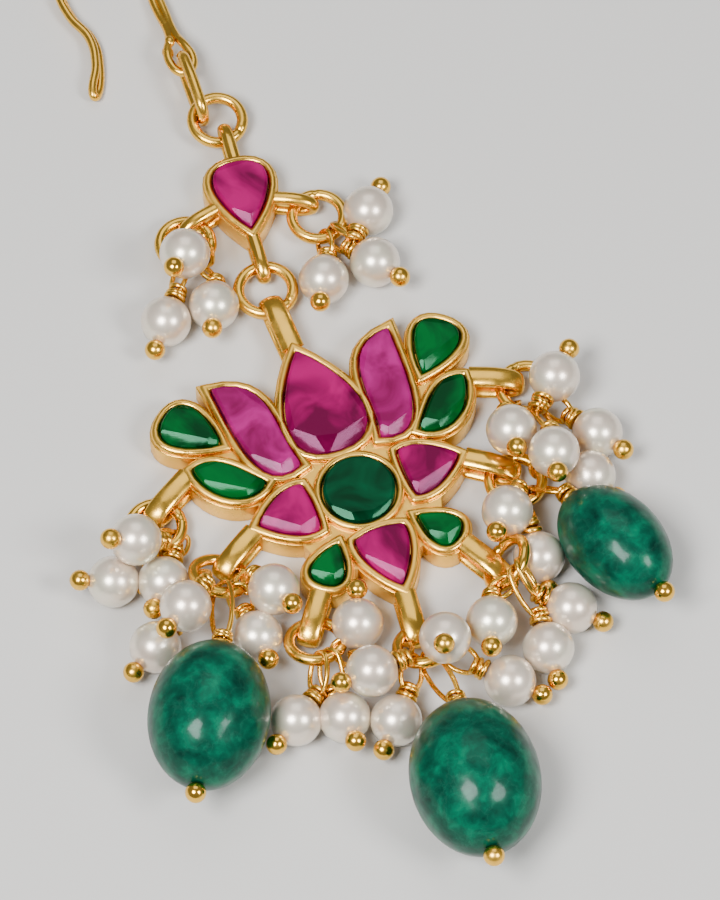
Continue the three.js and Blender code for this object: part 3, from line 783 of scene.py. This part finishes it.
def ring_axes(ring, at):
    angle = math.radians(at - ring.heading)
    ahead = ring.outward * math.cos(angle) + ring.across * math.sin(angle)
    side = ring.across * math.cos(angle) - ring.outward * math.sin(angle)
    return ahead, side


def on_ring(ring, at):
    return ring.centre + ring_axes(ring, at)[0] * ring.size.radius


MIDDLE_RING_SLACK = 0.5
MIDDLE_RING_HEADING = 87
middle_seat = seat_in(loops["top"], MIDDLE_RING.wire, MIDDLE_RING_SLACK)
middle_ring = ring_from(middle_seat, MIDDLE_RING_HEADING, 0, 0, MIDDLE_RING)
print("middle ring at", [round(side, 1) for side in middle_ring.centre])

# %% [markdown]
# ## The teardrop
#
# The teardrop is one stone in a cup like those of the lotus, with a loop of wire at each end and at
# each side. It hangs from the upper ring by its upper loop, and the middle ring, with the lotus on it,
# hangs in its lower loop. Here it is placed from the lotus up, so its lower loop comes first.

# %% The teardrop, its cup and its wires
Wire = namedtuple("Wire", "name along out heading length")
WIRES = [
    Wire("teardrop_bottom", 0, 0, 263, 4.4),
    Wire("teardrop_top", 1, 0, 83, 4.3),
    Wire("teardrop_left", 0.44, 2.1, 193, 3.9),
    Wire("teardrop_right", 0.44, -2.1, 332, 3.9),
]
TEARDROP = Stone("ruby_teardrop", DROP, 0, 0, 80, 6.4, ruby, "ruby", False, 0.62)
TEARDROP_ON_RING = 78
TEARDROP_SLACK = 0.3

lower_wire = WIRES[0]
lower_seat = on_ring(middle_ring, TEARDROP_ON_RING)
lower_reach = lower_wire.length - LOOP_WIRE_THICKNESS - MIDDLE_RING.wire / 2 - TEARDROP_SLACK
teardrop_base = Vector((lower_seat.x, lower_seat.y, 0)) - unit(lower_wire.heading) * lower_reach
teardrop = set_stone(TEARDROP, 1, teardrop_base, TEARDROP.points, TEARDROP.name)
teardrop_outline = outline_of(teardrop)
teardrop_pieces = setting([teardrop_outline])
for row in WIRES:
    start = teardrop_base + unit(teardrop.points) * row.along * teardrop.length
    start = start + unit(teardrop.points + 90) * row.out
    loops[row.name] = (start, row.heading, row.length, LOOP_WIRE_THICKNESS)
    body = loop_body(start, row.heading, row.length, LOOP_WIRE_WIDTH, LOOP_WIRE_CROWN, LOOP_WIRE_BEND)
    teardrop_pieces.append(body)
finish_piece(join(teardrop_pieces), "teardrop_gold", "gold", "teardrop_setting")
make_stone("ruby_teardrop", teardrop_outline, heart_of(teardrop), ruby, "ruby")

# %% [markdown]
# ## One ring, then all of them
#
# A jump ring is a torus that was sawn once and closed, so a fine seam is left. The seam is one
# cross-section of the torus scaled down a little. The other rings are copies of it.

# %% Ring bodies
RING_FULLNESS = 0.03
RING_SEGMENTS = 56
RING_SIDES = 14
SEAM_SQUEEZE = (0.97, 1, 0.7)
SEAM_REACH = 0.02
SEAM_LOWER_RIGHT = -50
UPPER_RING_SLACK = 0.4
UPPER_RING_HEADING = 92
UPPER_RING_TILT = 6


def ring_template(size):
    bpy.ops.object.select_all(action="DESELECT")
    bpy.ops.mesh.primitive_torus_add(
        major_radius=size.radius, minor_radius=size.wire / 2 + RING_FULLNESS,
        major_segments=RING_SEGMENTS, minor_segments=RING_SIDES, location=(0, 0, 0),
    )
    ring = bpy.context.object
    pick_corners(ring, lambda spot: abs(spot.y) < SEAM_REACH and spot.x > 0)
    bpy.ops.transform.resize(value=SEAM_SQUEEZE, center_override=(size.radius, 0, 0))
    edited()
    return paint(ring, polished_gold)


def ring_matrix(ring, seam):
    ahead, side = ring_axes(ring, seam)
    turn = Matrix((ahead, side, ahead.cross(side))).transposed().to_4x4()
    return Matrix.Translation(ring.centre) @ turn


upper_seat = seat_in(loops["teardrop_top"], UPPER_RING.wire, UPPER_RING_SLACK)
upper_ring = ring_from(upper_seat, UPPER_RING_HEADING, UPPER_RING_TILT, 0, UPPER_RING)
for node, ring in (("middle_ring", middle_ring), ("upper_ring", upper_ring)):
    body = place(ring_template(ring.size), ring_matrix(ring, SEAM_LOWER_RIGHT))
    finish_piece(body, f"{node}_gold", "gold", node)

# %% [markdown]
# ## The oval link and the hook
#
# The link stands on edge between the upper ring and the hook's eye. The hook is one thin wire, bent
# double: it opens into an eye round the link and runs back beside itself to a rounded tip. Its upper
# bend isn't in the photograph and is a plain round one.

# %% Link
LINK_FULLNESS = 0.06
LINK_LENGTH = 7.0
LINK_HEIGHT = 3.6
LINK_WIRE = 0.84
LINK_LEVEL = 1.9
LINK_HEADING = 86
LINK_SLACK = 0.7
LINK_ON_RING = 118
LINK_STEPS = 5

along_link = unit(LINK_HEADING)
link_seat = on_ring(upper_ring, LINK_ON_RING)
link_reach = UPPER_RING.wire / 2 + LINK_SLACK + LINK_WIRE
link_start = Vector((link_seat.x, link_seat.y, 0)) - along_link * link_reach
link_end = link_start + along_link * LINK_LENGTH
link_bend = (LINK_HEIGHT - LINK_WIRE) / 2 - 2 * LINK_FULLNESS
link_points = []
for end, side in ((link_end, 1), (link_start, -1)):
    middle = end - along_link * side * LINK_HEIGHT / 2
    for i in range(LINK_STEPS + 1):
        angle = math.pi * (i / LINK_STEPS - 0.5)
        spot = middle + along_link * side * link_bend * math.cos(angle)
        link_points.append(Vector((spot.x, spot.y, LINK_LEVEL + side * link_bend * math.sin(angle))))
oval_link = wire(link_points, LINK_WIRE / 2 + LINK_FULLNESS, steps=6, roundness=4)
finish_piece(paint(oval_link, polished_gold), "oval_link_gold", "gold", "oval_link")

# %% Hook
HOOK_WIRE = 0.74
HOOK_SPACING = 0.54
HOOK_SLACK = 0.7
EYE_WIDTH = 2.6
EYE_OVER_LINK = 0.1
Bend = namedtuple("Bend", "x y z twist")
HOOK_ROUTE = [
    Bend(0.25, 3.9, 1.5, 0),
    Bend(0.4, 7.2, 0.8, 10),
    Bend(0.4, 11.8, 0.75, 25),
    Bend(-0.7, 14.7, 0.7, 35),
    Bend(-3.1, 15.8, 0.7, 45),
    Bend(-5.5, 14.7, 0.7, 55),
    Bend(-6.6, 11.8, 0.7, 65),
    Bend(-6.55, 9.1, 0.7, 65),
    Bend(-5.8, 6.6, 0.7, 60),
    Bend(-6.2, 4.0, 0.7, 55),
    Bend(-7.35, 1.6, 0.7, 50),
]
EyeBend = namedtuple("EyeBend", "x y")
EYE_LEFT_SIDE = [EyeBend(-0.85, 2.3), EyeBend(-1, 1.2)]
EYE_BOTTOM = [EyeBend(-0.62, 0.25), EyeBend(0, 0), EyeBend(0.62, 0.25)]
EYE_RIGHT_SIDE = [EyeBend(1, 1.2), EyeBend(0.85, 2.3)]
Solder = namedtuple("Solder", "x y width")
SOLDER_DROPS = [Solder(-0.75, 2.3, 0.95), Solder(-0.2, 3.3, 0.8)]
SOLDER_SHAPE = (1, 1.3, 0.85)

eye_bottom = link_end - along_link * (LINK_WIRE + HOOK_SLACK + HOOK_WIRE / 2)
spine = [Vector((eye_bottom.x + bend.x, eye_bottom.y + bend.y, bend.z)) for bend in HOOK_ROUTE]


def strand(side):
    points = []
    for i, point in enumerate(spine):
        ahead = (spine[min(i + 1, len(spine) - 1)] - spine[max(i - 1, 0)]).normalized()
        across = ahead.cross(Vector((0, 0, 1))).normalized()
        over = across.cross(ahead)
        twist = math.radians(HOOK_ROUTE[i].twist)
        out = across * math.cos(twist) + over * math.sin(twist)
        points.append(point + out * side * HOOK_SPACING / 2)
    return points


def in_eye(bends):
    half = (EYE_WIDTH - HOOK_WIRE) / 2
    level = LINK_LEVEL + EYE_OVER_LINK
    return [Vector((eye_bottom.x + bend.x * half, eye_bottom.y + bend.y, level)) for bend in bends]


def sphere(width, segments, ring_count, location=(0, 0, 0)):
    bpy.ops.object.select_all(action="DESELECT")
    bpy.ops.mesh.primitive_uv_sphere_add(
        segments=segments, ring_count=ring_count, radius=width / 2, location=location
    )
    return bpy.context.object


tip = spine[-1] + (spine[-1] - spine[-2]).normalized() * HOOK_SPACING / 2
hook_points = [
    *in_eye(EYE_BOTTOM), *in_eye(EYE_RIGHT_SIDE), *strand(1),
    tip, *strand(-1)[::-1], *in_eye(EYE_LEFT_SIDE),
]
hook_parts = [wire(hook_points, HOOK_WIRE / 2, steps=8, roundness=3)]
for drop in SOLDER_DROPS:
    bead_of_solder = sphere(drop.width, 20, 12)
    stretch(bead_of_solder, SOLDER_SHAPE)
    spot = Vector((eye_bottom.x + drop.x, eye_bottom.y + drop.y, LINK_LEVEL))
    hook_parts.append(place(bead_of_solder, Matrix.Translation(spot)))
finish_piece(paint(join(hook_parts), polished_gold), "hook_gold", "gold", "hook")

# %% [markdown]
# ## One pearl drop, modelled once
#
# A pearl is drilled, and a gold pin with a ball head goes through it. Above the pearl the pin's wire
# is wrapped round itself in three loose turns, and bent to an eye that hangs in a ring. The pearl, the
# ball and the wraps are made once, along the Y axis, and copied to every place. Only the eye differs.

# %% Pearl, ball and wraps
PEARL_SIZE = 4.0
BALL_DIAMETER = 1.62
BALL_SINK = 0.15
WRAP_DIAMETER = 1.8
WRAP_LENGTH = 0.85
WRAP_LEANS = (6, -5, 4)
WRAP_TAPER = 0.09
FIRST_WRAP = 0.2
NEXT_WRAP = 0.5
EYE_WIRE = 0.42
POLE = 0.499
DRILL_DIMPLE = 0.93


def bead_template(width, length, segments, material):
    bead = sphere(1, segments, segments * 2 // 3)
    pick_corners(bead, lambda spot: abs(spot.z) > POLE)
    bpy.ops.transform.resize(value=(1, 1, DRILL_DIMPLE), center_override=(0, 0, 0))
    edited()
    stretch(bead, (width, width, length))
    return paint(place(bead, Matrix.Rotation(math.radians(-90), 4, "X")), material)


def pin_template(length):
    head = length / 2 + BALL_DIAMETER / 2 - BALL_SINK
    parts = [sphere(BALL_DIAMETER, 24, 16, location=(0, head, 0))]
    turn_radius = (WRAP_DIAMETER - EYE_WIRE) / 2
    for i, lean in enumerate(WRAP_LEANS):
        above = length / 2 + WRAP_LENGTH * (FIRST_WRAP + NEXT_WRAP * i)
        bpy.ops.mesh.primitive_torus_add(
            major_radius=turn_radius * (1 - WRAP_TAPER * i), minor_radius=EYE_WIRE / 2,
            major_segments=28, minor_segments=10, location=(0, -above, 0),
            rotation=(math.radians(90 + lean), 0, math.radians(lean)),
        )
        parts.append(bpy.context.object)
    for part in parts:
        only(part)
        bpy.ops.object.transform_apply(location=True, rotation=True, scale=True)
        paint(part, polished_gold)
    return join(parts)


pearl_template = bead_template(PEARL_SIZE, PEARL_SIZE, 36, pearl)
pearl_pin = pin_template(PEARL_SIZE)
ring_one = ring_template(JUMP_RING)
print("faces of a pearl and its pin", len(pearl_template.data.polygons), len(pearl_pin.data.polygons))

# %% [markdown]
# ## The eyes
#
# An eye is a long loop of thin wire. It leaves the wraps, widens, goes round the ring's wire and comes
# back. It stands across the ring's wire, and leans over a little to the flatter side, as a loose eye
# does when the jewel lies on a table.

# %% Eyes
Bow = namedtuple("Bow", "half_width corners")
EYE_BEND = Bow(0.85, (-67.5, -22.5, 22.5, 67.5))
EYE_ROOT = Bow(0.35, (-60, 60))
EYE_CLEARANCE = 0.32
EYE_TOUCH = 0.05
EYE_LEAN = 36
PEARL_EYE = 1.5
reach = JUMP_RING.radius + PEARL_EYE + WRAP_LENGTH + PEARL_SIZE / 2


def eye(near, hook, side, clearance, ring):
    toward = (hook - near).normalized()
    inside = EYE_BEND.half_width - (ring.size.wire + EYE_WIRE) / 2
    far = hook + toward * (clearance - inside)
    points = []
    for middle, bow, turn in ((far, EYE_BEND, 0), (near, EYE_ROOT, 180)):
        for corner in bow.corners:
            angle = math.radians(corner + turn)
            points.append(middle + (toward * math.cos(angle) + side * math.sin(angle)) * bow.half_width)
    return paint(wire(points, EYE_WIRE / 2, steps=7, roundness=2), polished_gold)


def drop_parts(bead, pin_part, length, centre, drop, ring, clearance):
    pin = aim(drop.heading, drop.lift)
    turn = Vector((0, 1, 0)).rotation_difference(pin).to_matrix().to_4x4()
    spin = Matrix.Rotation(random.uniform(0, math.tau), 4, "Y")
    spot = Matrix.Translation(centre) @ turn @ spin
    near = centre - pin * (length / 2 + WRAP_LENGTH)
    hook = on_ring(ring, drop.at)
    toward = (hook - near).normalized()
    side = ring_axes(ring, drop.at)[1].cross(toward).normalized()
    turns = [Matrix.Rotation(math.radians(lean), 3, toward) @ side for lean in (-EYE_LEAN, EYE_LEAN)]
    side = max(turns, key=lambda way: abs(way.cross(toward).z))
    gold_parts = [copy_of(pin_part, spot), eye(near, hook, side, clearance, ring)]
    return copy_of(bead, spot), gold_parts


def over_table(ring, drop, height):
    return Vector((ring.centre.x + drop.x * reach, ring.centre.y + drop.y * reach, height))


# %% [markdown]
# ## Nine clusters of pearls
#
# Each row of the table is one drop. Its pearl lies some way from the middle of its ring, some pearls
# rest on others, and the pin's heading and lift say which way its ball points.

# %% Clusters
SEAM_TURN = 130
DROP_SHADING = 60
RingPlace = namedtuple("RingPlace", "name loop slack turn tilt roll")
CLUSTER_RINGS = [
    RingPlace("top_left", "teardrop_left", 0.7, 28, 0, 0),
    RingPlace("top_right", "teardrop_right", 0.7, -28, 0, 0),
    RingPlace("leaf_left", "leaf_left", 1.1, 18, 0, 0),
    RingPlace("side_left", "side_left", 0.7, 10, 28, 0),
    RingPlace("small_left", "small_left", 1.2, 20, 18, 0),
    RingPlace("bottom", "bottom", 0.7, 10, 22, 0),
    RingPlace("small_right", "small_right", 1.2, 20, 50, 9),
    RingPlace("side_right", "side_right", 1.32, -17, 0, 0),
    RingPlace("leaf_right", "leaf_right", 0.95, -11, 0, 0),
]
Drop = namedtuple("Drop", "ring x y rise heading lift at")
PEARL_DROPS = [
    Drop("top_left", -0.16, -0.42, 0.65, -133, 33, -68),
    Drop("top_left", -0.65, -1.01, 0, -130, -2, -121),
    Drop("top_left", -0.02, -1.02, 0, -114, 18, -85),
    Drop("top_right", 0.59, -0.22, 0, 46, -8, -48),
    Drop("top_right", -0.29, -0.93, 0, -118, 18, -98),
    Drop("top_right", 0.39, -0.94, 0, -63, 13, -72),
    Drop("leaf_left", -0.38, -0.36, 0.73, 182, 40, -60),
    Drop("leaf_left", -0.76, -0.56, 0, 164, 16, -116),
    Drop("leaf_left", -0.2, -0.79, 0, -128, 8, -50),
    Drop("side_left", -0.6, -0.44, 0.75, -145, 12, 185),
    Drop("side_left", -1.06, -0.59, 0, -150, -2, 212),
    Drop("side_left", 0.5, -0.51, 0.38, -75, 28, -40),
    Drop("side_left", 0.12, -0.91, 0, -91, 18, -70),
    Drop("small_left", 0.53, -0.03, 0.18, 69, 25, -45),
    Drop("small_left", -0.61, -0.9, 0, -146, 6, -103),
    Drop("small_left", -0.06, -1.08, 0, -93, 17, -80),
    Drop("bottom", 0.15, -0.28, 0.94, -116, 53, 60),
    Drop("bottom", -0.78, -0.26, 0.58, -175, 9, 170),
    Drop("bottom", -0.69, -0.81, 0, -133, 0, -137),
    Drop("bottom", 0.77, -0.83, 0, -42, -12, -50),
    Drop("small_right", -0.51, -0.74, 0.48, -113, 17, -108),
    Drop("small_right", 0.05, -1.18, 0, -97, -9, -78),
    Drop("small_right", 0.51, -0.79, 0, -42, -12, -62),
    Drop("side_right", -0.35, -0.55, 0.48, -132, 21, -87),
    Drop("side_right", 0.84, -0.33, 0, -62, -8, 5),
    Drop("side_right", -0.17, -1.13, 0, -95, -20, -95),
    Drop("leaf_right", -0.49, -0.67, 0.46, -103, 30, -150),
    Drop("leaf_right", 0.29, -0.17, 0.44, 42, 3, -95),
    Drop("leaf_right", 0.53, -0.96, 0, -63, 10, -60),
    Drop("leaf_right", -0.18, -1.25, 0.8, -107, 25, -88),
]

rings = {}
for row in CLUSTER_RINGS:
    heading = loops[row.loop][1] + row.turn
    seat = seat_in(loops[row.loop], JUMP_RING.wire, row.slack)
    ring = ring_from(seat, heading, row.tilt, row.roll, JUMP_RING)
    rings[row.name] = ring
    pearls = []
    metal = [copy_of(ring_one, ring_matrix(ring, heading + SEAM_TURN))]
    for drop in (item for item in PEARL_DROPS if item.ring == row.name):
        centre = over_table(ring, drop, PEARL_SIZE * (0.5 + drop.rise))
        bead, parts = drop_parts(pearl_template, pearl_pin, PEARL_SIZE, centre, drop, ring, -EYE_TOUCH)
        pearls.append(bead)
        metal += parts
    node = f"pearls_{row.name}"
    finish_piece(join(pearls), f"{node}_nacre", "pearl", node, smooth=DROP_SHADING)
    finish_piece(join(metal), f"{node}_gold", "gold", node, smooth=DROP_SHADING)

# %% [markdown]
# ## Three emerald beads
#
# The beads are ovals of cloudy green stone on pins like the pearls', and their eyes hang in three of
# the rings above. A bead whose pin is lifted stands a little higher on the table, which its height
# allows for. Each has its own size, so each gets a bead and a pin of its own.

# %% Emerald drops
Bead = namedtuple("Bead", "name ring width length x y heading lift at")
EMERALD_DROPS = [
    Bead("emerald_left", "side_left", 9.3, 12.1, -0.86, -1.87, -120, 2, -110),
    Bead("emerald_bottom", "bottom", 9.9, 12.9, -0.2, -2.06, -101, 7, -100),
    Bead("emerald_right", "side_right", 7.4, 11, 0.69, -1.42, -75, 10, -42),
]
for drop in EMERALD_DROPS:
    ring = rings[drop.ring]
    lift = math.radians(drop.lift)
    height = math.hypot(drop.width * math.cos(lift), drop.length * math.sin(lift)) / 2
    centre = over_table(ring, drop, height)
    bead_one = bead_template(drop.width, drop.length, 60, beryl)
    pin_one = pin_template(drop.length)
    bead, parts = drop_parts(bead_one, pin_one, drop.length, centre, drop, ring, EYE_CLEARANCE)
    finish_piece(bead, f"{drop.name}_bead", "emerald_bead", drop.name, smooth=DROP_SHADING)
    finish_piece(join(parts), f"{drop.name}_gold", "gold", drop.name, smooth=DROP_SHADING)
    bpy.data.objects.remove(bead_one)
    bpy.data.objects.remove(pin_one)
for template in (pearl_template, pearl_pin, ring_one):
    bpy.data.objects.remove(template)

# %% [markdown]
# ## Floor and light
#
# The jewel lies on a plain pale table under soft studio light: one soft box to the left of the camera
# and one to its right, which give each pearl its two highlights, and a wide one beyond the jewel that
# the flat tops of the rims reflect.

# %% Floor
TABLE_SIZE = 1.6
TABLE_TOP = -0.00002
TABLE_COLOUR = (0.6, 0.59, 0.57, 1)

bpy.ops.object.select_all(action="DESELECT")
bpy.ops.mesh.primitive_plane_add(size=TABLE_SIZE, location=(0, 0, TABLE_TOP))
floor = bpy.context.object
floor.name = "floor"
edit_all(floor)
bpy.ops.mesh.subdivide(number_cuts=3)
edited()
floor_material, floor_shader = new_material("pale_table")
socket_values(floor_shader, Base_Color=TABLE_COLOUR, Roughness=0.6)
floor.data.materials.append(floor_material)

# %% Lights
Lamp = namedtuple("Lamp", "side rise distance size power")
LAMPS = [
    Lamp(-20, 4, 0.5, 0.18, 3.7),
    Lamp(36, 2, 0.5, 0.15, 1.9),
    Lamp(0, 60, 0.55, 0.36, 0.6),
]
for lamp in LAMPS:
    side = math.radians(lamp.side)
    rise = math.radians(lamp.rise)
    sideways = back * math.cos(side) + right * math.sin(side)
    toward = sideways * math.cos(rise) + up * math.sin(rise)
    bpy.ops.object.light_add(
        type="AREA", location=toward * lamp.distance,
        rotation=(-toward).to_track_quat("-Z", "Y").to_euler(),
    )
    light = bpy.context.object.data
    light.shape = "SQUARE"
    light.size = lamp.size
    light.energy = lamp.power
ROOM_COLOUR = (0.95, 0.96, 1, 1)
ROOM_LIGHT = 0.22
world = bpy.data.worlds.new("room")
bpy.context.scene.world = world
world.use_nodes = True
socket_values(world.node_tree.nodes["Background"], Color=ROOM_COLOUR, Strength=ROOM_LIGHT)
print(len(LAMPS), "lamps and a room light of", ROOM_LIGHT)
